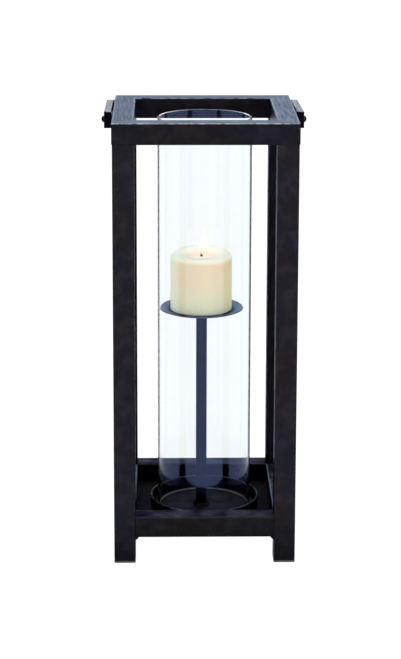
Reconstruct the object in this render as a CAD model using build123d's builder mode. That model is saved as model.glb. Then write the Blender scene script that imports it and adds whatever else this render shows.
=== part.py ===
from build123d import *
import os
from math import cos, radians, sin

# Hurricane candle lantern: a welded square-tube frame with a glass chimney, a pillar
# candle on a stem-mounted plate, and a bail handle folded down behind the frame.
# Millimetres. +Z is up, -Y is the front, and the origin is on the floor, midway
# between the four feet.

# ---- driving dimensions ----------------------------------------------------------
# Frame, made of 25.4 mm square steel tube
frame_width = 216.0          # outside of the mitred top frame, both ways
frame_height = 530.0         # floor to the top of the frame
tube = 25.4
tube_wall = 1.5
tube_corner = 1.8            # outside corner radius of the tube
tube_corner_inner = 0.5
post_inset = 0.6             # the posts stand this far inside the top frame
leg_height = 32.0            # floor to the underside of the bottom rails
cap_flange = 2.5             # foot cap, the part below the tube
cap_plug = 9.0               # foot cap, the part pushed up inside the tube
cap_plug_gap = 0.25
cap_wall = 2.0
cap_edge = 0.4               # chamfer round the foot
weld_leg = 4.0               # fillet welds under the bottom rails
weld_bulge = 0.35

# Tray and the collar that keeps the chimney in place
tray_thickness = 2.0
collar_radius = 66.2
collar_wall = 2.0
collar_height = 14.4
collar_edge = 0.4            # rounding of the collar's rim
collar_x = 1.5               # the collar is welded on slightly off centre

# Candle stand: stem and dished plate, welded on slightly off centre
stand_x = -2.4
stem_size = 13.0
stem_wall = 1.2
stem_corner = 1.0
stem_weld = 3.0
stem_weld_slope = 40.0       # degrees between the weld's side and the stem
plate_radius = 50.5
plate_floor_radius = 39.0
plate_thickness = 1.2
plate_rise = 2.6             # height of the lip over the plate's floor
plate_floor_top = 284.4      # height of the surface that the candle stands on

# Candle
seat_gap = 0.2               # between a loose piece and what it stands on
candle_x = -3.0
candle_radius = 37.3
candle_top = 357.2
candle_shoulder = 6.0        # radius of the softened top edge
candle_rim_width = 4.0       # level rim between the shoulder and the melted well
candle_base_edge = 1.0
well_radius = 15.0
well_depth = 5.6
wick_radius = 1.0
wick_bore_radius = 1.1
wick_foot = 4.0              # the wick starts this far above the candle's base
wick_stand = 3.0             # straight length above the wax
wick_bend_radius = 6.0
wick_bend_angle = 40.0

# Glass chimney, open at both ends
glass_x = 0.8
glass_radius = 57.0
glass_wall = 2.3
glass_top = 520.3
glass_lip = 1.1              # fire-polished rounding of the upper rim
glass_foot_edge = 0.4        # ground chamfer of the lower rim

# Bail handle: two arms and a grip of flat bar, folded down behind the frame
pivot_drop = 12.5            # top of the frame to the pivot axis
handle_droop = 2.3           # degrees below level when the handle lies folded
handle_reach = 109.0         # pivot axis to the inner face of the grip
arm_tail = 9.5               # pivot axis to the free end of the arm
bar_height = 20.0
bar_thickness = 8.5
bar_edge = 0.8
bar_bend = 3.0               # outer corner between an arm and the grip
arm_gap = 2.5                # side of the frame to the arm
spacer_radius = 10.0
spacer_clearance = 0.3
bolt_radius = 2.5
bolt_running_gap = 0.06      # radial, between the bolt and the arm
bolt_clear_hole = 2.7
bolt_head_radius = 4.0
bolt_head_height = 3.0
bolt_head_edge = 0.6
nut_across_flats = 8.0
nut_thickness = 4.0
nut_bore = 2.56
bolt_end = 1.0               # thread that stands past the nut

# ---- derived dimensions ----------------------------------------------------------
post_outside = frame_width / 2 - post_inset
post_centre = post_outside - tube / 2
rail_half_length = post_outside - tube
top_rail_centre = frame_width / 2 - tube / 2
top_rail_height = frame_height - tube / 2
bottom_rail_height = leg_height + tube / 2
tray_top = leg_height + tray_thickness
plate_underside = plate_floor_top - plate_thickness
candle_base = plate_floor_top + seat_gap
pool_height = candle_top - well_depth
pivot_height = frame_height - pivot_drop
arm_inner_x = frame_width / 2 + arm_gap
arm_outer_x = arm_inner_x + bar_thickness
head_seat_x = arm_outer_x + spacer_clearance
tube_inner_x = frame_width / 2 - tube_wall

corners = {
    "front_left": (-1, -1),
    "front_right": (1, -1),
    "rear_left": (-1, 1),
    "rear_right": (1, 1),
}
# Each side of the frame: the direction its rails run in, and its outward normal
sides = {
    "front": (Vector(1, 0, 0), Vector(0, -1, 0)),
    "right": (Vector(0, 1, 0), Vector(1, 0, 0)),
    "rear": (Vector(-1, 0, 0), Vector(0, 1, 0)),
    "left": (Vector(0, -1, 0), Vector(-1, 0, 0)),
}
flanks = {"left": -1, "right": 1}

os.makedirs("parts", exist_ok=True)


def save(part, name):
    part.label = name
    export_step(part, f"parts/{name}.step")


def tube_section(size, wall, outer_corner, inner_corner):
    """Section of a square tube with rounded corners, drawn in the current sketch."""
    bore = size - 2 * wall
    RectangleRounded(size, size, outer_corner)
    RectangleRounded(bore, bore, inner_corner, mode=Mode.SUBTRACT)


def rail_plane(run, outward, centre, height):
    """Plane across a rail at its middle, with x pointing out of the frame."""
    return Plane(origin=outward * centre + Vector(0, 0, height), x_dir=outward, z_dir=run)


def axial_plane(x):
    """Upright plane through a vertical axis at x, with its own y pointing up."""
    return Plane(origin=(x, 0, 0), x_dir=(1, 0, 0), z_dir=(0, -1, 0))


def vertical_axis(x):
    return Axis((x, 0, 0), (0, 0, 1))


# ---- frame -----------------------------------------------------------------------
for corner, (side_x, side_y) in corners.items():
    foot = Vector(side_x * post_centre, side_y * post_centre, 0)
    post_length = frame_height - tube - cap_flange

    with BuildPart() as post:
        with BuildSketch(Plane(origin=foot + Vector(0, 0, cap_flange))):
            tube_section(tube, tube_wall, tube_corner, tube_corner_inner)
        extrude(amount=post_length)
    save(post.part, f"post_{corner}")

    # Moulded cap: a flange as wide as the tube and a hollow plug inside it
    plug = tube - 2 * (tube_wall + cap_plug_gap)
    with BuildPart() as foot_cap:
        with BuildSketch(Plane(origin=foot)):
            RectangleRounded(tube, tube, tube_corner)
        extrude(amount=cap_flange)
        with BuildSketch(Plane(origin=foot + Vector(0, 0, cap_flange))):
            tube_section(plug, cap_wall, tube_corner_inner, tube_corner_inner)
        extrude(amount=cap_plug)
        chamfer(foot_cap.faces().sort_by(Axis.Z)[0].edges(), cap_edge)
    save(foot_cap.part, f"foot_cap_{corner}")

for side, (run, outward) in sides.items():
    # Top rail, mitred at both ends
    with BuildPart() as top_rail:
        with BuildSketch(rail_plane(run, outward, top_rail_centre, top_rail_height)):
            tube_section(tube, tube_wall, tube_corner, tube_corner_inner)
        extrude(amount=frame_width / 2, both=True)
        split(bisect_by=Plane(origin=(0, 0, 0), z_dir=outward - run), keep=Keep.TOP)
        split(bisect_by=Plane(origin=(0, 0, 0), z_dir=outward + run), keep=Keep.TOP)
        if side in flanks:
            pivot = outward * (frame_width / 2) + Vector(0, 0, pivot_height)
            with Locations(Plane(origin=pivot, z_dir=outward)):
                Hole(radius=bolt_clear_hole, depth=2 * tube_wall)
    save(top_rail.part, f"top_rail_{side}")

    # Bottom rail, butted between two posts
    with BuildPart() as bottom_rail:
        with BuildSketch(rail_plane(run, outward, post_centre, bottom_rail_height)):
            tube_section(tube, tube_wall, tube_corner, tube_corner_inner)
        extrude(amount=rail_half_length, both=True)
    save(bottom_rail.part, f"bottom_rail_{side}")

# Fillet welds in the corners under the bottom rails, two on each side of the frame
with BuildPart() as leg_welds:
    weld_half_length = tube / 2 - tube_corner
    for run, outward in sides.values():
        for end in (-1, 1):
            root = run * (end * rail_half_length) + Vector(0, 0, leg_height)
            weld_plane = Plane(
                origin=root + outward * post_centre,
                x_dir=run * -end,
                z_dir=outward * -end,
            )
            with BuildSketch(weld_plane):
                with BuildLine():
                    crest = weld_leg / 2 + weld_bulge
                    Line((0, 0), (weld_leg, 0))
                    ThreePointArc((weld_leg, 0), (crest, -crest), (0, -weld_leg))
                    Line((0, -weld_leg), (0, 0))
                make_face()
            extrude(amount=weld_half_length, both=True)
save(leg_welds.part, "leg_welds")

# ---- tray and collar -------------------------------------------------------------
with BuildPart() as tray_plate:
    with BuildSketch(Plane.XY.offset(leg_height)):
        Rectangle(2 * rail_half_length, 2 * rail_half_length)
    extrude(amount=tray_thickness)
save(tray_plate.part, "tray_plate")

with BuildPart() as glass_collar:
    with BuildSketch(Plane(origin=(collar_x, 0, tray_top))):
        Circle(collar_radius)
        Circle(collar_radius - collar_wall, mode=Mode.SUBTRACT)
    extrude(amount=collar_height)
    fillet(glass_collar.faces().sort_by(Axis.Z)[-1].edges(), collar_edge)
save(glass_collar.part, "glass_collar")

# ---- candle stand ----------------------------------------------------------------
with BuildPart() as candle_stem:
    with BuildSketch(Plane(origin=(stand_x, 0, tray_top))):
        tube_section(stem_size, stem_wall, stem_corner, stem_corner / 2)
    extrude(amount=plate_underside - tray_top)
save(candle_stem.part, "candle_stem")

# Weld round the foot of the stem, and the same under the plate
with BuildPart() as stem_welds:
    weld_size = stem_size + 2 * stem_weld
    for height, up in ((tray_top, 1), (plate_underside, -1)):
        weld_base = Plane(origin=(stand_x, 0, height), z_dir=(0, 0, up))
        with BuildSketch(weld_base):
            RectangleRounded(weld_size, weld_size, stem_weld)
        extrude(amount=stem_weld, taper=stem_weld_slope)
    with BuildSketch(Plane(origin=(stand_x, 0, tray_top))):
        RectangleRounded(stem_size, stem_size, stem_corner)
    extrude(amount=plate_underside - tray_top, mode=Mode.SUBTRACT)
save(stem_welds.part, "stem_welds")

with BuildPart() as candle_plate:
    with BuildSketch(axial_plane(stand_x)):
        with BuildLine():
            floor_line = Line((0, plate_underside), (plate_floor_radius, plate_underside))
            TangentArc(
                floor_line @ 1,
                (plate_radius, plate_underside + plate_rise),
                tangent=floor_line % 1,
            )
            offset(amount=plate_thickness, side=Side.LEFT)
        make_face()
    revolve(axis=vertical_axis(stand_x))
save(candle_plate.part, "candle_plate")

# ---- candle ----------------------------------------------------------------------
with BuildPart() as candle_wax:
    with BuildSketch(axial_plane(candle_x)):
        with BuildLine():
            rim_inner = candle_radius - candle_shoulder - candle_rim_width
            base_inner = candle_radius - candle_base_edge
            base_outer = (candle_radius, candle_base + candle_base_edge)
            rim_outer = (candle_radius - candle_shoulder, candle_top)
            base = Line((wick_bore_radius, candle_base), (base_inner, candle_base))
            edge = RadiusArc(base @ 1, base_outer, -candle_base_edge)
            wall = Line(edge @ 1, (candle_radius, candle_top - candle_shoulder))
            shoulder = RadiusArc(wall @ 1, rim_outer, -candle_shoulder)
            rim = Line(shoulder @ 1, (rim_inner, candle_top))
            well = Spline(rim @ 1, (well_radius, pool_height), tangents=((-1, 0), (-1, 0)))
            pool = Line(well @ 1, (wick_bore_radius, pool_height))
            Line(pool @ 1, base @ 0)
        make_face()
    revolve(axis=vertical_axis(candle_x))
save(candle_wax.part, "candle_wax")

# Braided wick, straight through the wax and curled over at its burnt end
with BuildPart() as wick:
    wick_start = candle_base + wick_foot
    with BuildLine(axial_plane(candle_x)) as wick_path:
        stalk = Line((0, wick_start), (0, pool_height + wick_stand))
        JernArc(stalk @ 1, stalk % 1, wick_bend_radius, -wick_bend_angle)
    with BuildSketch(Plane(origin=(candle_x, 0, wick_start))):
        Circle(wick_radius)
    sweep(path=wick_path.line)
save(wick.part, "wick")

# ---- glass chimney ---------------------------------------------------------------
with BuildPart() as glass_chimney:
    glass_foot = tray_top + seat_gap
    with BuildSketch(Plane(origin=(glass_x, 0, glass_foot))):
        Circle(glass_radius)
        Circle(glass_radius - glass_wall, mode=Mode.SUBTRACT)
    extrude(amount=glass_top - glass_foot)
    fillet(glass_chimney.faces().sort_by(Axis.Z)[-1].edges(), glass_lip)
    chamfer(glass_chimney.faces().sort_by(Axis.Z)[0].edges(), glass_foot_edge)
save(glass_chimney.part, "glass_chimney")

# ---- bail handle -----------------------------------------------------------------
# The handle's plan plane: x runs from the pivots out to the grip, y points to the left
droop = radians(handle_droop)
arm_direction = Vector(0, cos(droop), -sin(droop))
arm_up = Vector(0, sin(droop), cos(droop))
pivot_centre = Vector(0, 0, pivot_height)
handle_base = Plane(
    origin=pivot_centre - arm_up * (bar_height / 2), x_dir=arm_direction, z_dir=arm_up
)
arm_end = handle_reach + bar_thickness

for side, sign in flanks.items():
    with BuildPart() as handle_arm:
        with BuildSketch(handle_base):
            middle_x = (arm_end - arm_tail) / 2
            middle_y = -sign * (arm_inner_x + arm_outer_x) / 2
            with Locations((middle_x, middle_y)):
                Rectangle(arm_end + arm_tail, bar_thickness)
            bend_corner = (arm_end, -sign * arm_outer_x)
            fillet(vertices().sort_by_distance(bend_corner)[0], bar_bend)
            fillet(vertices().group_by(Axis.X)[0], bar_edge)
        extrude(amount=bar_height)
        long_faces = handle_arm.faces().sort_by(Axis(pivot_centre, arm_up))
        fillet(long_faces[-1].edges() + long_faces[0].edges(), bar_edge)
        with Locations(Plane(origin=(sign * arm_outer_x, 0, pivot_height), z_dir=(sign, 0, 0))):
            Hole(radius=bolt_radius + bolt_running_gap)
    save(handle_arm.part, f"handle_arm_{side}")

with BuildPart() as handle_grip:
    grip_centre = pivot_centre + arm_direction * (handle_reach + bar_thickness / 2)
    with BuildSketch(Plane(origin=grip_centre, x_dir=arm_direction, z_dir=(1, 0, 0))):
        RectangleRounded(bar_thickness, bar_height, bar_edge)
    extrude(amount=arm_inner_x, both=True)
save(handle_grip.part, "handle_grip")

# ---- pivots ----------------------------------------------------------------------
# A domed bolt on each flank: head, arm, spacer, tube wall, then a nut inside the tube
nut_inner_x = tube_inner_x - nut_thickness

for side, sign in flanks.items():
    with BuildPart() as pivot_bolt:
        with BuildSketch(Plane(origin=pivot_centre, x_dir=(sign, 0, 0), z_dir=(0, -sign, 0))):
            with BuildLine():
                tip_x = nut_inner_x - bolt_end
                rim_x = head_seat_x + bolt_head_edge
                crown_x = head_seat_x + bolt_head_height
                Polyline(
                    (crown_x, 0),
                    (tip_x, 0),
                    (tip_x, bolt_radius),
                    (head_seat_x, bolt_radius),
                    (head_seat_x, bolt_head_radius),
                    (rim_x, bolt_head_radius),
                )
                dome_height = crown_x - rim_x
                dome_radius = (bolt_head_radius**2 + dome_height**2) / (2 * dome_height)
                RadiusArc((rim_x, bolt_head_radius), (crown_x, 0), dome_radius)
            make_face()
        revolve(axis=Axis(pivot_centre, (1, 0, 0)))
    save(pivot_bolt.part, f"pivot_bolt_{side}")

    flank = Plane(origin=(sign * frame_width / 2, 0, pivot_height), z_dir=(sign, 0, 0))
    with BuildPart() as pivot_spacer:
        with BuildSketch(flank):
            Circle(spacer_radius)
            Circle(bolt_clear_hole, mode=Mode.SUBTRACT)
        extrude(amount=arm_gap - spacer_clearance)
    save(pivot_spacer.part, f"pivot_spacer_{side}")

    with BuildPart() as pivot_nut:
        with BuildSketch(flank.offset(-tube_wall - nut_thickness)):
            RegularPolygon(nut_across_flats / 2, 6, major_radius=False)
            Circle(nut_bore, mode=Mode.SUBTRACT)
        extrude(amount=nut_thickness)
    save(pivot_nut.part, f"pivot_nut_{side}")
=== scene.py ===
import math

import bmesh
import bpy
from mathutils import Matrix, Vector


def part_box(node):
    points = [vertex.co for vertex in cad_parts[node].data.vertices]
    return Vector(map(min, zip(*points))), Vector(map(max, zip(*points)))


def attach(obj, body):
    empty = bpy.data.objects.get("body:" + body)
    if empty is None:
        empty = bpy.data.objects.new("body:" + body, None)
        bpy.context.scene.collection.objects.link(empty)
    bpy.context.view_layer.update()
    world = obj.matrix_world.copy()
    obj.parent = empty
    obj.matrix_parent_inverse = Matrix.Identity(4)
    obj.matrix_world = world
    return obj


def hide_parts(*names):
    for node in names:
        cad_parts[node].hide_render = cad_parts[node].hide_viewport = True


# Hurricane candle lantern, in metres. The CAD nodes keep their shapes and get procedural
# finishes. The candle's melted body, the pool of melted wax, the burnt lump on the wick and
# the flame are modelled here.

MM = 0.001
BLACK = (0.0, 0.0, 0.0)
WHITE = (1.0, 1.0, 1.0)

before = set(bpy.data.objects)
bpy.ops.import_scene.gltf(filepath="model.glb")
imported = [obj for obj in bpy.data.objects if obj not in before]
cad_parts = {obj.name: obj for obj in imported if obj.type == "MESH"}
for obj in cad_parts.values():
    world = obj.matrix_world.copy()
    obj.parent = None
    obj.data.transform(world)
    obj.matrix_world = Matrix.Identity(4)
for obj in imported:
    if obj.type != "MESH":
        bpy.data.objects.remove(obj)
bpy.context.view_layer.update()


# ---- node trees --------------------------------------------------------------------
class Finish:
    """One material and the helpers that add nodes to its tree. Colours are (r, g, b)."""

    def __init__(self, name):
        self.material = bpy.data.materials.new(name)
        self.material.use_nodes = True
        self.tree = self.material.node_tree
        self.shader = self.tree.nodes["Principled BSDF"]
        coords = self.tree.nodes.new("ShaderNodeTexCoord")
        self.place = coords.outputs["Object"]
        self.normal = coords.outputs["Normal"]

    def feed(self, socket, value):
        """Link another node's output to the socket, or set a plain value on it."""
        if isinstance(value, bpy.types.NodeSocket):
            self.tree.links.new(value, socket)
        elif socket.type == "RGBA":
            socket.default_value = (*value, 1.0)
        else:
            socket.default_value = value

    def set(self, **values):
        """Values or links for the shader's sockets, with _ for a space in a name."""
        for key, value in values.items():
            self.feed(self.shader.inputs[key.replace("_", " ")], value)

    def math(self, operation, a, b=0.0, c=0.0):
        node = self.tree.nodes.new("ShaderNodeMath")
        node.operation = operation
        for socket, value in zip(node.inputs, (a, b, c)):
            self.feed(socket, value)
        return node.outputs[0]

    def vector_math(self, operation, a, b=BLACK):
        node = self.tree.nodes.new("ShaderNodeVectorMath")
        node.operation = operation
        self.feed(node.inputs[0], a)
        self.feed(node.inputs[1], b)
        return node.outputs["Value" if operation == "LENGTH" else "Vector"]

    def split(self, vector):
        node = self.tree.nodes.new("ShaderNodeSeparateXYZ")
        self.feed(node.inputs[0], vector)
        return node.outputs["X"], node.outputs["Y"], node.outputs["Z"]

    def radius_about(self, centre):
        """Distance from the upright line through centre."""
        across = self.vector_math("SUBTRACT", self.place, tuple(centre))
        level = self.vector_math("MULTIPLY", across, (1.0, 1.0, 0.0))
        return self.vector_math("LENGTH", level)

    def stretch(self, scale, turn=(0.0, 0.0, 0.0)):
        """Object coordinates scaled by a different amount along each axis."""
        node = self.tree.nodes.new("ShaderNodeMapping")
        self.feed(node.inputs["Vector"], self.place)
        node.inputs["Scale"].default_value = scale
        node.inputs["Rotation"].default_value = turn
        return node.outputs[0]

    def noise(self, scale, detail=4.0, rough=0.55, vector=None, distortion=0.0):
        node = self.tree.nodes.new("ShaderNodeTexNoise")
        self.feed(node.inputs["Vector"], vector or self.place)
        node.inputs["Scale"].default_value = scale
        node.inputs["Detail"].default_value = detail
        node.inputs["Roughness"].default_value = rough
        node.inputs["Distortion"].default_value = distortion
        return node.outputs["Fac"]

    def cells(self, scale):
        node = self.tree.nodes.new("ShaderNodeTexVoronoi")
        self.feed(node.inputs["Vector"], self.place)
        node.inputs["Scale"].default_value = scale
        return node.outputs["Distance"]

    def facing(self):
        """0 where a surface faces the eye, 1 at its silhouette."""
        node = self.tree.nodes.new("ShaderNodeLayerWeight")
        node.inputs["Blend"].default_value = 0.5
        return node.outputs["Facing"]

    def fit(self, value, low, high, to_low=0.0, to_high=1.0, smooth=True):
        """value from low..high to to_low..to_high, held at both ends."""
        node = self.tree.nodes.new("ShaderNodeMapRange")
        node.interpolation_type = "SMOOTHSTEP" if smooth else "LINEAR"
        self.feed(node.inputs["Value"], value)
        node.inputs["From Min"].default_value = low
        node.inputs["From Max"].default_value = high
        node.inputs["To Min"].default_value = to_low
        node.inputs["To Max"].default_value = to_high
        return node.outputs["Result"]

    def ramp(self, value, *stops):
        """Colour by value: each stop is (position, colour)."""
        node = self.tree.nodes.new("ShaderNodeValToRGB")
        points = node.color_ramp.elements
        while len(points) < len(stops):
            points.new(1.0)
        for point, (position, colour) in zip(points, stops):
            point.position = position
            point.color = (*colour, 1.0)
        self.feed(node.inputs[0], value)
        return node.outputs["Color"]

    def blend(self, share, a, b):
        """Colour a where share is 0, colour b where it is 1."""
        node = self.tree.nodes.new("ShaderNodeMix")
        node.data_type = "RGBA"
        sockets = {socket.identifier: socket for socket in node.inputs}
        self.feed(sockets["Factor_Float"], share)
        self.feed(sockets["A_Color"], a)
        self.feed(sockets["B_Color"], b)
        return {socket.identifier: socket for socket in node.outputs}["Result_Color"]

    def bump(self, height, strength, distance, under=None):
        """Normals for a height; under is another bump's normals to add it to."""
        node = self.tree.nodes.new("ShaderNodeBump")
        node.inputs["Strength"].default_value = strength
        node.inputs["Distance"].default_value = distance
        self.feed(node.inputs["Height"], height)
        if under is not None:
            self.feed(node.inputs["Normal"], under)
        return node.outputs["Normal"]


def tinted(colour, tint):
    return tuple(c * k for c, k in zip(colour, tint))


def paint(material, *nodes):
    """The CAD nodes show this material on every face."""
    for name in nodes:
        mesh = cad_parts[name].data
        mesh.materials.clear()
        mesh.materials.append(material)


# ---- metal finishes ----------------------------------------------------------------
# Colour seen head on, darkest first, and the tint seen at a glancing angle
# HANDLE_DARK is deepened as painted shade on the handle arms and bolts
HANDLE_DARK = (0.0022, 0.002, 0.004)
STAND_DARK = (0.006, 0.005, 0.009)
COLLAR_DARK = (0.008, 0.008, 0.008)
# The LOW_ tones and sheens are dimmer copies of the steel's for the bottom rails: painted shade
LOW_DARK = (0.0095, 0.0087, 0.0105)
RAIL_DARK = (0.0095, 0.0084, 0.0112)
DARK = (0.0125, 0.0112, 0.0145)
COLLAR_SHEEN = (0.3, 0.3, 0.28)
TRAY_SHEEN = (0.3, 0.3, 0.36)
# POST_SHEEN is dimmed to take the highlight off the posts' rounded corners: painted shade
POST_SHEEN = (0.34, 0.38, 0.5)
LOW_SHEEN = (0.42, 0.4, 0.47)
LOW_REAR_SHEEN = (0.42, 0.42, 0.49)
LOW_SIDE_SHEEN = (0.5, 0.55, 0.7)
STAND_SHEEN = (0.4, 0.5, 0.72)
SHEEN = (0.66, 0.75, 0.95)
HANDLE_SHEEN = (0.9, 1.0, 1.0)

BROWNER = (1.14, 1.03, 0.88)
BLUER = (0.92, 1.03, 1.22)
PALER = (1.9, 1.9, 1.9)
BRUSHED = (0.18, 0.2, 0.235)
SCRATCHED = (0.32, 0.35, 0.4)
BARE = (0.34, 0.37, 0.42)

HIGHLIGHT_RIM_WIDTH = 3.2 * MM        # how far a painted highlight band reaches in from an edge
SHADE_TOP = 70 * MM          # painted shade darkens the finish from here down
SHADE_FULL = 5 * MM
GRAIN = {"x": (3.0, 90.0, 90.0), "y": (90.0, 3.0, 90.0), "z": (90.0, 90.0, 3.0)}
SCRATCH_TURN = (0.03, 0.05, 0.04)


def steel(
    name, grain, dark=DARK, sheen=SHEEN, wear=0.5, rubbed_and_lit=0.5, rough=0.38, inward=0.2, highlight_rims=()
):
    """Blackened steel: mottled oil-dark finish, brushed along one axis, bright where edges wear.

    rubbed_and_lit is how bright the upper faces are brushed: partly real brushing, partly a
    painted highlight. inward is the share of the finish's tone left on the faces that look
    into the lantern; their darkening is painted shade. The upper edges' wear is also partly a
    painted highlight. highlight_rims are (distance from the lantern's middle, share) for
    edges along the grain whose upper side gets a painted highlight.
    """
    f = Finish(name)
    n_x, n_y, n_z = f.split(f.normal)
    p_x, p_y, p_z = f.split(f.place)
    level = f.math("MAXIMUM", f.math("ABSOLUTE", n_x), f.math("ABSOLUTE", n_y))
    flatness = f.math("MAXIMUM", level, f.math("ABSOLUTE", n_z))
    edge = f.fit(flatness, 0.985, 0.86)
    up = f.fit(n_z, 0.4, 0.95)
    clouds = f.noise(16.0, 5.0, 0.6)
    blotches = f.noise(55.0, 6.0, 0.65, distortion=0.4)
    streaks = f.noise(7.0, 6.0, 0.7, vector=f.stretch(GRAIN[grain]))
    scratches = f.noise(19.0, 3.0, 0.6, vector=f.stretch(GRAIN[grain], turn=SCRATCH_TURN))

    # The blackening: cloudy, with painted shade on the inner faces and toward the floor
    tone = f.ramp(clouds, (0.36, tinted(dark, BROWNER)), (0.5, dark), (0.64, tinted(dark, BLUER)))
    mottled = f.blend(f.fit(blotches, 0.42, 0.66, 0.0, 0.55), tone, tinted(dark, PALER))
    # Painted shade: faces that look into the lantern go darker
    outward = f.math("ADD", f.math("MULTIPLY", n_x, p_x), f.math("MULTIPLY", n_y, p_y))
    inner = f.math("MULTIPLY", f.fit(outward, 0.0, -0.03), 1.0 - inward)
    shaded = f.blend(inner, mottled, BLACK)
    # Painted shade: darker toward the floor
    low_shaded = f.blend(f.fit(p_z, SHADE_TOP, SHADE_FULL, 0.0, 0.5), shaded, BLACK)

    # Upper faces: brushed and scratched, and lightened as a painted highlight
    brushing_and_light = f.fit(f.math("ADD", streaks, blotches), 0.82, 1.25, 0.02, rubbed_and_lit)
    off_edge = f.fit(edge, 0.0, 0.6, 1.0, 0.1)
    brushed_and_lit_share = f.math("MULTIPLY", f.math("MULTIPLY", up, brushing_and_light), off_edge)
    brushed = f.blend(brushed_and_lit_share, low_shaded, BRUSHED)
    scratch_strength = f.fit(up, 0.0, 1.0, 0.03, 0.22)
    scratch_share = f.math("MULTIPLY", f.fit(scratches, 0.62, 0.72), scratch_strength)
    scratched = f.blend(scratch_share, brushed, SCRATCHED)

    # Edges: chipped and rubbed through to the metal, most of all the upper ones, which is partly a
    # painted highlight; bands along chosen edges add painted highlights
    chipped = f.fit(f.noise(140.0, 5.0, 0.7), 0.36, 0.62)
    edge_wear_and_highlight = f.fit(n_z, 0.35, 0.7, wear * 0.08, wear)
    wear_and_highlight = f.math("MULTIPLY", f.math("MULTIPLY", edge, chipped), edge_wear_and_highlight)
    across = f.math("ABSOLUTE", p_x if grain == "y" else p_y)
    # Painted highlight bands along edges of the grain, broken up by the chipping
    for distance, share in highlight_rims:
        off = f.math("ABSOLUTE", f.math("SUBTRACT", across, distance))
        band = f.math("MULTIPLY", up, f.fit(off, HIGHLIGHT_RIM_WIDTH, HIGHLIGHT_RIM_WIDTH / 3, 0.0, share))
        broken = f.math("MULTIPLY", band, f.fit(chipped, 0.0, 1.0, 0.5, 1.0))
        wear_and_highlight = f.math("MAXIMUM", wear_and_highlight, broken)

    gloss = f.fit(streaks, 0.3, 0.7, rough + 0.08, rough - 0.06)
    grain_bump = f.bump(streaks, 0.16, 0.3 * MM)
    f.set(
        Base_Color=f.blend(wear_and_highlight, scratched, BARE),
        Metallic=1.0,
        Specular_Tint=sheen,
        Roughness=f.math("ADD", gloss, f.fit(blotches, 0.4, 0.7, -0.05, 0.08)),
        Normal=f.bump(f.noise(420.0, 4.0, 0.6), 0.22, 0.2 * MM, under=grain_bump),
    )
    return f.material


def sheet(name, centre, radius, fade, inner, outer, sheen):
    """Blackened sheet: cloudy, one tone inside a circle about centre and another outside it.

    fade is how far the change of tone reaches; inner and outer are pairs of colours. Faces
    that don't look up have the inner tone too.
    """
    f = Finish(name)
    _, _, n_z = f.split(f.normal)
    within = f.fit(f.radius_about(centre), radius, radius - fade)
    inside = f.math("MAXIMUM", within, f.fit(n_z, 0.7, 0.3))
    clouds = f.noise(40.0, 5.0, 0.6, distortion=0.3)
    tones = [f.ramp(clouds, (0.35, dark), (0.65, light)) for dark, light in (outer, inner)]
    f.set(
        Base_Color=f.blend(inside, *tones),
        Metallic=1.0,
        Specular_Tint=sheen,
        Roughness=f.fit(clouds, 0.3, 0.7, 0.62, 0.48),
        Normal=f.bump(f.noise(300.0, 4.0, 0.6), 0.12, 0.2 * MM),
    )
    return f.material


def welded(name, light):
    """Weld metal under the blackening: rippled and a little rougher."""
    f = Finish(name)
    ripples = f.noise(420.0, 2.0, 0.5, distortion=1.2)
    clouds = f.noise(60.0, 5.0, 0.6)
    brightness = (light, light, light)
    low = tinted((0.007, 0.006, 0.006), brightness)
    high = tinted((0.017, 0.016, 0.019), brightness)
    f.set(
        Base_Color=f.ramp(clouds, (0.3, low), (0.7, high)),
        Metallic=1.0,
        Specular_Tint=LOW_SHEEN,
        Roughness=f.fit(ripples, 0.3, 0.7, 0.38, 0.55),
        Normal=f.bump(ripples, 0.5, 0.6 * MM),
    )
    return f.material


def zinc_finish(name):
    """Zinc plating with a fine spangle."""
    f = Finish(name)
    spangle = f.cells(260.0)
    f.set(
        Base_Color=f.ramp(spangle, (0.2, (0.42, 0.42, 0.41)), (0.8, (0.6, 0.61, 0.62))),
        Metallic=1.0,
        Roughness=f.fit(spangle, 0.0, 1.0, 0.28, 0.5),
        Normal=f.bump(spangle, 0.15, 0.3 * MM),
    )
    return f.material


# ---- glass, plastic, wax, wick and flame finishes ----------------------------------
GLASS_IOR = 1.12
GLASS_SHEEN = (4.1, 5.4, 11.4)
WAX_DEPTHS = (1.0, 0.6, 0.35)


def clear_glass(name, foot):
    """Clear glass with a faint blue cast, drawn lines along its length and a ground foot.

    The low index and the strong blue sheen give thin outlines and a blue veil over whatever
    is dark behind the glass.
    """
    f = Finish(name)
    _, _, height = f.split(f.place)
    ground_low = foot + 0.3 * MM
    ground_high = foot + 0.9 * MM
    lines = f.noise(34.0, 4.0, 0.6, vector=f.stretch((1.0, 1.0, 0.02)))
    smudges = f.noise(22.0, 5.0, 0.6)
    clear = f.ramp(lines, (0.35, (0.887, 0.914, 0.945)), (0.65, (0.922, 0.938, 0.965)))
    edged = f.blend(f.fit(f.facing(), 0.55, 0.78), clear, (0.84, 0.87, 0.92))
    ground = f.fit(height, ground_high, ground_low)
    smudged = f.fit(smudges, 0.5, 0.8, 0.0, 0.02)
    f.set(
        Base_Color=f.blend(ground, edged, (0.3, 0.3, 0.28)),
        Transmission_Weight=f.fit(height, ground_high, ground_low, 1.0, 0.35),
        IOR=GLASS_IOR,
        Specular_Tint=GLASS_SHEEN,
        Roughness=f.math("MAXIMUM", smudged, f.math("MULTIPLY", ground, 0.5)),
        Normal=f.bump(lines, 0.02, 0.4 * MM),
    )
    return f.material


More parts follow.
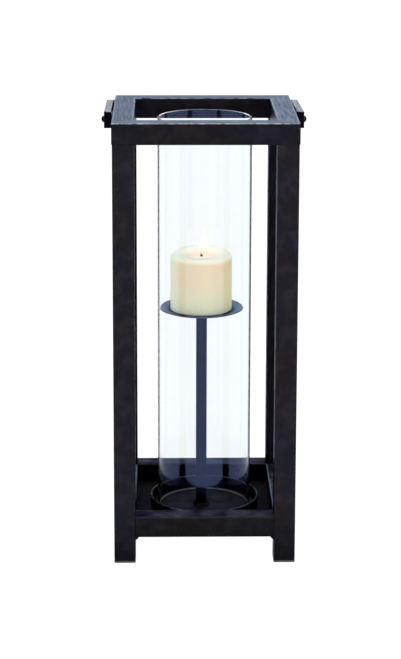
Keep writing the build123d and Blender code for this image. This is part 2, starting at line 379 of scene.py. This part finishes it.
def cap_finish(name):
    """Scuffed black plastic."""
    f = Finish(name)
    grain = f.noise(700.0, 3.0, 0.6)
    scuffs = f.noise(45.0, 6.0, 0.7)
    f.set(
        Base_Color=f.ramp(scuffs, (0.4, (0.012, 0.012, 0.013)), (0.75, (0.05, 0.05, 0.052))),
        Roughness=f.fit(scuffs, 0.3, 0.7, 0.45, 0.7),
        Normal=f.bump(grain, 0.25, 0.2 * MM),
    )
    return f.material


def candle_finish(name, centre, pool_height, rim_height):
    """Ivory wax: light goes into it, and it glows warm round the flame.

    It is peach below the rim and more olive lower down, with a pale rim, paler at the back,
    and orange over the well: painted warm light from the flame and painted light on the rim.
    One side has a pale bluish painted reflection and the other a duller painted one, the
    bands the glass lays over the candle. Its warm glow round the flame is painted light too.
    """
    f = Finish(name)
    radius = f.radius_about(centre)
    _, y, height = f.split(f.place)
    n_x, _, _ = f.split(f.normal)
    bloom = f.noise(70.0, 6.0, 0.6)
    cast = f.noise(26.0, 3.0, 0.5, vector=f.stretch((1.0, 1.0, 0.5)))
    peach = f.ramp(cast, (0.35, (0.86, 0.65, 0.43)), (0.65, (0.81, 0.71, 0.47)))
    olive = f.ramp(cast, (0.35, (0.74, 0.69, 0.44)), (0.65, (0.76, 0.75, 0.51)))

    low_down = f.fit(height, rim_height - 26 * MM, rim_height - 62 * MM)
    near_rim = f.fit(height, rim_height - 11 * MM, rim_height - 6 * MM, 0.0, 0.8)
    far_rim = f.fit(y, centre.y + 8 * MM, centre.y + 28 * MM)
    over_well = f.fit(radius, 20 * MM, 14 * MM)
    round_flame = f.fit(radius, 26 * MM, 6 * MM)
    near_pool = f.fit(height, pool_height - 14 * MM, pool_height)

    # Wax bloom at random over painted warm light: peach below the rim, olive lower down
    bloom_and_warm_light = f.blend(
        f.fit(bloom, 0.5, 0.75, 0.0, 0.25), f.blend(low_down, peach, olive), (0.88, 0.86, 0.68)
    )
    # Painted reflections: a pale bluish band on one side, a duller band on the other
    cool_reflection_band = f.blend(f.fit(n_x, -0.7, -0.84, 0.0, 0.7), bloom_and_warm_light, (0.8, 0.81, 0.6))
    dull_reflection_band = f.blend(f.fit(n_x, 0.62, 0.8, 0.0, 0.6), cool_reflection_band, (0.69, 0.64, 0.36))
    # Painted light: a pale rim, paler at the back
    rim_tone = f.blend(far_rim, (0.79, 0.84, 0.69), (0.82, 0.85, 0.8))
    pale_top = f.blend(near_rim, dull_reflection_band, rim_tone)
    f.set(
        # Painted warm light from the flame: orange over the well
        Base_Color=f.blend(over_well, pale_top, (0.96, 0.72, 0.5)),
        Subsurface_Weight=0.55,
        Subsurface_Radius=WAX_DEPTHS,
        Subsurface_Scale=7 * MM,
        Roughness=f.fit(bloom, 0.3, 0.7, 0.48, 0.62),
        IOR=1.44,
        # Painted glow of the flame's light round the wick
        Emission_Color=f.blend(f.math("MULTIPLY", round_flame, near_pool), BLACK, (1.0, 0.5, 0.22)),
        Emission_Strength=0.05,
        Normal=f.bump(f.noise(240.0, 4.0, 0.5), 0.12, 0.3 * MM),
    )
    return f.material


def melt_finish(name, centre):
    """Melted wax: amber at the back of the pool, milky at the front."""
    f = Finish(name)
    _, y, _ = f.split(f.place)
    swirl = f.noise(120.0, 3.0, 0.5)
    milky = f.ramp(swirl, (0.3, (0.96, 0.86, 0.74)), (0.7, (0.97, 0.9, 0.8)))
    amber = f.ramp(swirl, (0.3, (0.95, 0.7, 0.46)), (0.7, (0.96, 0.76, 0.54)))
    f.set(
        # Painted light: amber at the back of the pool, milky at the front
        Base_Color=f.blend(f.fit(y, centre.y - 7 * MM, centre.y + 1 * MM), milky, amber),
        Subsurface_Weight=0.4,
        Subsurface_Radius=WAX_DEPTHS,
        Subsurface_Scale=5 * MM,
        Roughness=0.3,
        IOR=1.43,
        # Painted glow of the flame's light
        Emission_Color=(1.0, 0.6, 0.32),
        Emission_Strength=0.1,
        Normal=f.bump(swirl, 0.05, 0.5 * MM),
    )
    return f.material


def wick_finish(name, top):
    """Braided cotton, charred toward its end."""
    f = Finish(name)
    braid = f.cells(900.0)
    _, _, height = f.split(f.place)
    charred = f.fit(height, top - 9 * MM, top - 5 * MM)
    f.set(
        Base_Color=f.blend(charred, (0.6, 0.5, 0.38), (0.012, 0.009, 0.008)),
        Roughness=f.fit(braid, 0.0, 0.6, 0.95, 0.7),
        Normal=f.bump(braid, 0.6, 0.4 * MM),
    )
    return f.material


def char_finish(name):
    """Burnt cotton: matt black-brown crust."""
    f = Finish(name)
    crust = f.cells(1400.0)
    f.set(
        Base_Color=f.ramp(crust, (0.2, (0.02, 0.009, 0.004)), (0.7, (0.006, 0.003, 0.002))),
        Specular_IOR_Level=0.1,
        Roughness=f.fit(crust, 0.0, 0.6, 0.95, 0.75),
        Normal=f.bump(crust, 0.5, 0.3 * MM),
    )
    return f.material


def flame_finish(name, base, tip):
    """A candle flame: orange at the foot, white-yellow in the body, fading at the tip."""
    f = Finish(name)
    _, _, height = f.split(f.place)
    flicker = f.math("MULTIPLY_ADD", f.noise(160.0, 2.0, 0.5), 0.12, -0.06)
    level = f.math("ADD", f.fit(height, base, tip, smooth=False), flicker)
    foot_share = f.fit(level, 0.0, 0.1, 0.7, 1.0)
    tip_share = f.fit(level, 0.5, 0.95, 1.0, 0.05)
    f.set(
        Base_Color=BLACK,
        Specular_IOR_Level=0.0,
        Roughness=1.0,
        Emission_Color=f.ramp(
            level,
            (0.0, (0.95, 0.72, 0.5)),
            (0.12, (1.0, 0.84, 0.6)),
            (0.3, (1.0, 0.95, 0.78)),
            (0.6, (1.0, 0.98, 0.9)),
            (1.0, (1.0, 0.96, 0.86)),
        ),
        Emission_Strength=1.15,
        Alpha=f.math("MULTIPLY", foot_share, tip_share),
    )
    return f.material


# ---- turned shapes -----------------------------------------------------------------
def lathe(name, rings, around):
    """A solid of revolution whose profile may vary round the axis.

    rings(angle) gives the profile's points for that angle, from one pole to the other.
    """
    mesh_data = bmesh.new()
    columns = []
    for step in range(around):
        points = rings(2 * math.pi * step / around)
        columns.append([mesh_data.verts.new(point) for point in points[1:-1]])
    poles = rings(0.0)
    first, last = mesh_data.verts.new(poles[0]), mesh_data.verts.new(poles[-1])
    for here, there in zip(columns, columns[1:] + columns[:1]):
        mesh_data.faces.new((first, there[0], here[0]))
        for low, high in zip(range(len(here) - 1), range(1, len(here))):
            mesh_data.faces.new((here[low], there[low], there[high], here[high]))
        mesh_data.faces.new((here[-1], there[-1], last))
    bmesh.ops.recalc_face_normals(mesh_data, faces=mesh_data.faces)
    mesh = bpy.data.meshes.new(name)
    mesh_data.to_mesh(mesh)
    mesh_data.free()
    for polygon in mesh.polygons:
        polygon.use_smooth = True
    piece = bpy.data.objects.new(name, mesh)
    bpy.context.scene.collection.objects.link(piece)
    return piece


def outward(angle):
    return Vector((math.cos(angle), math.sin(angle), 0))


def turned(line, angle):
    """A line of (radius, height) points, turned about the candle's middle."""
    return [
        wax_centre + outward(angle) * radius + Vector((0, 0, height)) for radius, height in line
    ]


def shares(steps):
    """Equal steps from just above 0 up to 1."""
    return [step / steps for step in range(1, steps + 1)]


def quarter_turn(steps):
    return [math.pi / 2 * share for share in shares(steps)]


def ripple(angle, *waves):
    """Sum of (count, size, phase) waves round the candle."""
    return sum(size * math.cos(count * angle + phase) for count, size, phase in waves)


# ---- candle wax, pool, wick end and flame ------------------------------------------
wax_low, wax_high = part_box("candle_wax")
_, wick_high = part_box("wick")
wax_centre = Vector(((wax_low.x + wax_high.x) / 2, (wax_low.y + wax_high.y) / 2, 0))
wax_radius = (wax_high.x - wax_low.x) / 2
pool_level = wax_high.z - 7.4 * MM

WAX_INSET = 0.12 * MM       # keeps the wavy side within the CAD candle
FOOT_ROUND = 1.0 * MM
SAG = 3.2 * MM              # how far the rim has burnt down at the sides
SAG_TILT = 2.3 * MM         # how much more than that at the front, and less at the back
SHOULDER = 6.8 * MM         # radius of the softened outer edge
RIM_LAND = 2.4 * MM         # flat width of the rim
WELL_RADIUS = 12.0 * MM
WELL_DEPTH = 0.9 * MM       # below the melted wax's surface
WELL_DISH = 0.3 * MM        # fall of the well's floor to its middle
POOL_OVERLAP = 1.9 * MM     # how far the pool reaches up the well's slope
POOL_THICKNESS = 0.5 * MM
POOL_CLIMB = 0.5 * MM       # rise of the melted wax at the wick
# (share of the pool's radius, rise in mm), from the edge in: flat, then up toward the wick
POOL_SURFACE = (
    (0.97, 0.04), (0.9, 0.0), (0.7, 0.0), (0.5, 0.0), (0.3, 0.0), (0.16, 0.05), (0.09, 0.35),
)


def well_edge(angle):
    """Radius of the well where its slope meets its floor."""
    return WELL_RADIUS + ripple(angle, (2, 0.7 * MM, 0.2), (3, 0.5 * MM, 1.4), (4, 0.25 * MM, 2.9))


def wax_profile(angle):
    """From the middle of the base, up the side, over the rim and down into the well."""
    sag = SAG - SAG_TILT * math.sin(angle)
    sag += ripple(angle, (2, 0.3 * MM, 0.4), (3, 0.2 * MM, 2.0), (5, 0.06 * MM, 1.1))
    rim_top = wax_high.z - sag
    slump = SHOULDER + ripple(angle, (2, 0.5 * MM, 1.9), (3, 0.3 * MM, 0.3))
    wall = wax_radius - WAX_INSET + ripple(angle, (3, 0.06 * MM, 0.9), (7, 0.03 * MM, 2.2))
    well = well_edge(angle)
    well_floor = pool_level - WELL_DEPTH
    side_foot = wax_low.z + FOOT_ROUND
    side_top = rim_top - slump
    outer_rim = wall - slump
    inner_rim = outer_rim - RIM_LAND

    line = [(0.0, wax_low.z), (wall * 0.5, wax_low.z), (wall - FOOT_ROUND, wax_low.z)]
    for turn in quarter_turn(3):
        line.append(
            (wall - FOOT_ROUND * (1 - math.sin(turn)), side_foot - FOOT_ROUND * math.cos(turn))
        )
    for share in shares(14):
        line.append((wall, side_foot + (side_top - side_foot) * share))
    for turn in quarter_turn(10):
        line.append((wall - slump * (1 - math.cos(turn)), side_top + slump * math.sin(turn)))
    for share in shares(3):
        line.append((outer_rim - RIM_LAND * share, rim_top))
    for share in shares(12):
        fall = share * share * (3 - 2 * share)
        line.append((inner_rim + (well - inner_rim) * share, rim_top + (well_floor - rim_top) * fall))
    for share in shares(4):
        line.append((well * (1 - 0.92 * share), well_floor - WELL_DISH * share))
    line.append((0.0, well_floor - WELL_DISH))
    return turned(line, angle)


def pool_profile(angle):
    """From the middle of the underside, round the thin edge and back over the surface."""
    edge = well_edge(angle) + POOL_OVERLAP
    under = pool_level - POOL_THICKNESS
    line = [(0.0, under), (edge * 0.9, under), (edge + 0.1 * MM, pool_level + 0.05 * MM)]
    line += [(edge * share, pool_level + rise * MM) for share, rise in POOL_SURFACE]
    line.append((0.0, pool_level + POOL_CLIMB))
    return turned(line, angle)


FLAME_HEIGHT = 37.0 * MM
FLAME_LEAN = 1.6 * MM       # sideways, from foot to tip
FLAME_SWAY = 0.5 * MM       # the bow in between
flame_foot = pool_level + 1.8 * MM
flame_tip = flame_foot + FLAME_HEIGHT
flame_x = wick_high.x - 0.8 * MM
# (share of the height, radius in mm)
FLAME_SHAPE = (
    (0.0, 0.0), (0.03, 2.0), (0.08, 3.2), (0.15, 3.8), (0.23, 4.0), (0.32, 3.8), (0.42, 3.3),
    (0.53, 2.7), (0.64, 2.1), (0.75, 1.6), (0.85, 1.1), (0.93, 0.7), (0.98, 0.3), (1.0, 0.0),
)
CHAR_HEIGHT = 2.6 * MM
char_foot = wax_centre + Vector((0.5 * MM, -1.4 * MM, pool_level - 0.4 * MM))
CHAR_SHAPE = (
    (0.0, 0.0), (0.0, 1.2), (0.25, 1.5), (0.5, 1.6), (0.75, 1.4), (0.92, 0.9), (1.0, 0.0),
)


def flame_profile(angle):
    """From the flame's foot, over the wick's bent end, to its tip, which leans to the right."""
    line = []
    for share, radius in FLAME_SHAPE:
        lean = FLAME_LEAN * math.sin(share * math.pi / 2) + FLAME_SWAY * math.sin(share * 4.2)
        middle = Vector((flame_x + lean, wax_centre.y, flame_foot + FLAME_HEIGHT * share))
        size = radius * MM * (1 + 0.04 * math.cos(2 * angle + 3 * share))
        line.append(middle + outward(angle) * size)
    return line


def char_profile(angle):
    """The burnt lump where the wick leaves the pool."""
    line = []
    for share, radius in CHAR_SHAPE:
        size = radius * MM * (1 + 0.12 * math.cos(3 * angle + 5 * share))
        line.append(char_foot + outward(angle) * size + Vector((0, 0, CHAR_HEIGHT * share)))
    return line


candle_body = lathe("candle_body", wax_profile, 144)
melt_pool = lathe("melt_pool", pool_profile, 96)
flame = lathe("flame", flame_profile, 40)
wick_char = lathe("wick_char", char_profile, 24)
flame_smooth = flame.modifiers.new("smooth", "SUBSURF")
flame_smooth.levels = 1
flame_smooth.render_levels = 1

candle_body.data.materials.append(candle_finish("ivory_wax", wax_centre, pool_level, wax_high.z))
melt_pool.data.materials.append(melt_finish("melted_wax", wax_centre))
flame.data.materials.append(flame_finish("flame", flame_foot, flame_tip))
wick_char.data.materials.append(char_finish("wick_char"))

for piece in (candle_body, melt_pool, flame, wick_char):
    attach(piece, "candle")
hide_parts("candle_wax")

# ---- finishes on the CAD nodes -----------------------------------------------------
rail_low, rail_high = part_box("top_rail_right")
low_rail_low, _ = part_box("bottom_rail_right")
collar_low, collar_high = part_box("glass_collar")
glass_low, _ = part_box("glass_chimney")

# Each rail and the posts get their own copy of the steel at its own brightness: lit and shaded copies
# of one finish, painted light and shade
steel_posts = steel("blackened_steel_z", "z", sheen=POST_SHEEN, inward=0.5)
steel_front = steel(
    "blackened_steel_front", "x", dark=RAIL_DARK, wear=0.6, rubbed_and_lit=1.0, inward=0.8,
    highlight_rims=((rail_high.x, 0.5),),
)
steel_rear = steel("blackened_steel_rear", "x", dark=RAIL_DARK, wear=0.35, rubbed_and_lit=0.65, inward=0.8)
steel_left = steel(
    "blackened_steel_left", "y", wear=0.8, rubbed_and_lit=0.55, inward=0.6,
    highlight_rims=((rail_low.x, 0.6), (rail_high.x, 0.4)),
)
steel_right = steel(
    "blackened_steel_right", "y", wear=0.8, rubbed_and_lit=0.85, inward=0.6,
    highlight_rims=((rail_low.x, 0.9), (rail_high.x, 0.6)),
)
# The bottom rails: dimmer copies of the steel, painted shade; the side rails' inner top edges get a
# painted highlight
low_front = steel("low_steel_front", "x", dark=LOW_DARK, sheen=LOW_SHEEN, wear=0.0, rubbed_and_lit=0.42)
low_rear = steel(
    "low_steel_rear", "x", dark=LOW_DARK, sheen=LOW_REAR_SHEEN, wear=0.05, rubbed_and_lit=0.42
)
low_side = steel(
    "low_steel_side", "y", dark=LOW_DARK, sheen=LOW_SIDE_SHEEN, wear=0.25, rubbed_and_lit=1.2, inward=1.0,
    highlight_rims=((low_rail_low.x, 0.42),),
)
stem_steel = steel(
    "stand_steel", "z", dark=STAND_DARK, sheen=STAND_SHEEN, wear=0.3, rubbed_and_lit=0.8, inward=1.0
)
collar_steel = steel(
    "collar_steel", "z", dark=COLLAR_DARK, sheen=COLLAR_SHEEN, wear=0.6, rubbed_and_lit=0.6
)
# The handle arms: nearly black at the sides, painted shade, and brushed very bright on top, partly a
# painted highlight
arm_steel = steel(
    "handle_steel", "y", dark=HANDLE_DARK, sheen=HANDLE_SHEEN, wear=0.9, rubbed_and_lit=2.5, inward=1.0
)
bolt_steel = steel(
    "bolt_steel", "z", dark=HANDLE_DARK, wear=0.2, rubbed_and_lit=0.2, rough=0.42, inward=1.0
)
# Painted light: the tray is lighter inside the collar, where light comes down the glass
tray_steel = sheet(
    "tray_steel", (collar_low + collar_high) / 2, (collar_high.x - collar_low.x) / 2, 8 * MM,
    inner=((0.034, 0.034, 0.04), (0.05, 0.05, 0.058)),
    outer=((0.012, 0.012, 0.015), (0.02, 0.02, 0.024)),
    sheen=TRAY_SHEEN,
)
# Painted contact shadow: nearly black under and just round the candle, and on the plate's faces that
# don't look up
plate_steel = sheet(
    "plate_steel", wax_centre, wax_radius + 7 * MM, 7 * MM,
    inner=(BLACK, (0.003, 0.003, 0.005)),
    outer=((0.15, 0.2, 0.225), (0.23, 0.29, 0.32)),
    sheen=STAND_SHEEN,
)

paint(steel_front, "top_rail_front")
paint(steel_rear, "top_rail_rear", "handle_grip")
paint(steel_left, "top_rail_left")
paint(steel_right, "top_rail_right")
paint(low_front, "bottom_rail_front")
paint(low_rear, "bottom_rail_rear")
for side in ("left", "right"):
    paint(steel_posts, f"post_front_{side}", f"post_rear_{side}")
    paint(low_side, f"bottom_rail_{side}")
    paint(arm_steel, f"handle_arm_{side}")
    paint(bolt_steel, f"pivot_bolt_{side}", f"pivot_spacer_{side}")
paint(stem_steel, "candle_stem")
paint(plate_steel, "candle_plate")
paint(tray_steel, "tray_plate")
paint(collar_steel, "glass_collar")
paint(welded("weld_steel", 1.0), "leg_welds")
# The stem's welds take a darker copy of the weld finish: painted shade at the stem's foot
paint(welded("stem_weld_steel", 0.3), "stem_welds")
paint(cap_finish("cap_plastic"), *(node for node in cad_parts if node.startswith("foot_cap")))
paint(zinc_finish("zinc"), "pivot_nut_left", "pivot_nut_right")
paint(wick_finish("wick_cotton", wick_high.z), "wick")
paint(clear_glass("clear_glass", glass_low.z), "glass_chimney")

# ---- floor, light and camera -------------------------------------------------------
FLOOR_HALF = 14.0
FLOOR_DROP = 0.2 * MM
SKY_COLOUR = (0.97, 0.985, 1.0, 1.0)
SKY_FRONT = 2.0
SKY_BACK = 1.12
OVERHEAD_PLACE = Vector((-0.3, -0.5, 2.4))
OVERHEAD_AIM = Vector((0, 0, 0.25))
OVERHEAD_SIZE = (2.2, 1.6)
OVERHEAD_WATTS = 26.0
CAMERA_PLACE = (-0.04785, -2.32087, 0.89752)
CAMERA_HEADING = -0.0189
CAMERA_DOWN = 0.2022
CAMERA_ROLL = 0.0025
CAMERA_LENS = 107.76
CAMERA_SHIFT = -0.2


def white_floor():
    """A wide, plain floor that glows almost white."""
    grid = bmesh.new()
    bmesh.ops.create_grid(grid, x_segments=8, y_segments=8, size=FLOOR_HALF)
    mesh = bpy.data.meshes.new("floor")
    grid.to_mesh(mesh)
    grid.free()
    f = Finish("floor_white")
    f.set(
        Base_Color=f.ramp(f.noise(3.0, 2.0), (0.3, (0.07, 0.07, 0.07)), (0.7, (0.09, 0.09, 0.09))),
        Roughness=0.9,
        Specular_IOR_Level=0.1,
        Emission_Color=WHITE,
        Emission_Strength=0.99,
    )
    mesh.materials.append(f.material)
    floor = bpy.data.objects.new("floor", mesh)
    floor.location.z = -FLOOR_DROP
    bpy.context.scene.collection.objects.link(floor)
    return floor


def studio_world():
    """Soft light from all round, stronger from the front than from the back."""
    world = bpy.data.worlds.new("studio")
    world.use_nodes = True
    tree = world.node_tree
    sky = tree.nodes["Background"]
    sky.inputs["Color"].default_value = SKY_COLOUR
    direction = tree.nodes.new("ShaderNodeTexCoord")
    parts = tree.nodes.new("ShaderNodeSeparateXYZ")
    front_to_back = tree.nodes.new("ShaderNodeMapRange")
    front_to_back.interpolation_type = "SMOOTHSTEP"
    front_to_back.inputs["From Min"].default_value = -0.3
    front_to_back.inputs["From Max"].default_value = 0.4
    front_to_back.inputs["To Min"].default_value = SKY_FRONT
    front_to_back.inputs["To Max"].default_value = SKY_BACK
    tree.links.new(direction.outputs["Generated"], parts.inputs[0])
    tree.links.new(parts.outputs["Y"], front_to_back.inputs["Value"])
    tree.links.new(front_to_back.outputs["Result"], sky.inputs["Strength"])
    return world


def overhead_light():
    """A large soft panel above and in front of the lantern."""
    light = bpy.data.lights.new("overhead", "AREA")
    light.shape = "RECTANGLE"
    light.size, light.size_y = OVERHEAD_SIZE
    light.energy = OVERHEAD_WATTS
    overhead = bpy.data.objects.new("overhead", light)
    overhead.location = OVERHEAD_PLACE
    overhead.rotation_euler = (OVERHEAD_AIM - OVERHEAD_PLACE).to_track_quat("-Z", "Y").to_euler()
    bpy.context.scene.collection.objects.link(overhead)


def photo_camera():
    """A long lens in front of the lantern, higher than its top and looking slightly down."""
    data = bpy.data.cameras.new("camera")
    data.lens = CAMERA_LENS
    data.sensor_width = 36.0
    data.shift_y = CAMERA_SHIFT
    data.clip_end = 60.0
    camera = bpy.data.objects.new("camera", data)
    camera.matrix_world = (
        Matrix.Translation(CAMERA_PLACE)
        @ Matrix.Rotation(CAMERA_HEADING, 4, "Z")
        @ Matrix.Rotation(math.pi / 2 - CAMERA_DOWN, 4, "X")
        @ Matrix.Rotation(CAMERA_ROLL, 4, "Z")
    )
    bpy.context.scene.collection.objects.link(camera)
    return camera


white_floor()
bpy.context.scene.world = studio_world()
overhead_light()
bpy.context.scene.camera = photo_camera()
bpy.context.scene.view_settings.view_transform = "Standard"
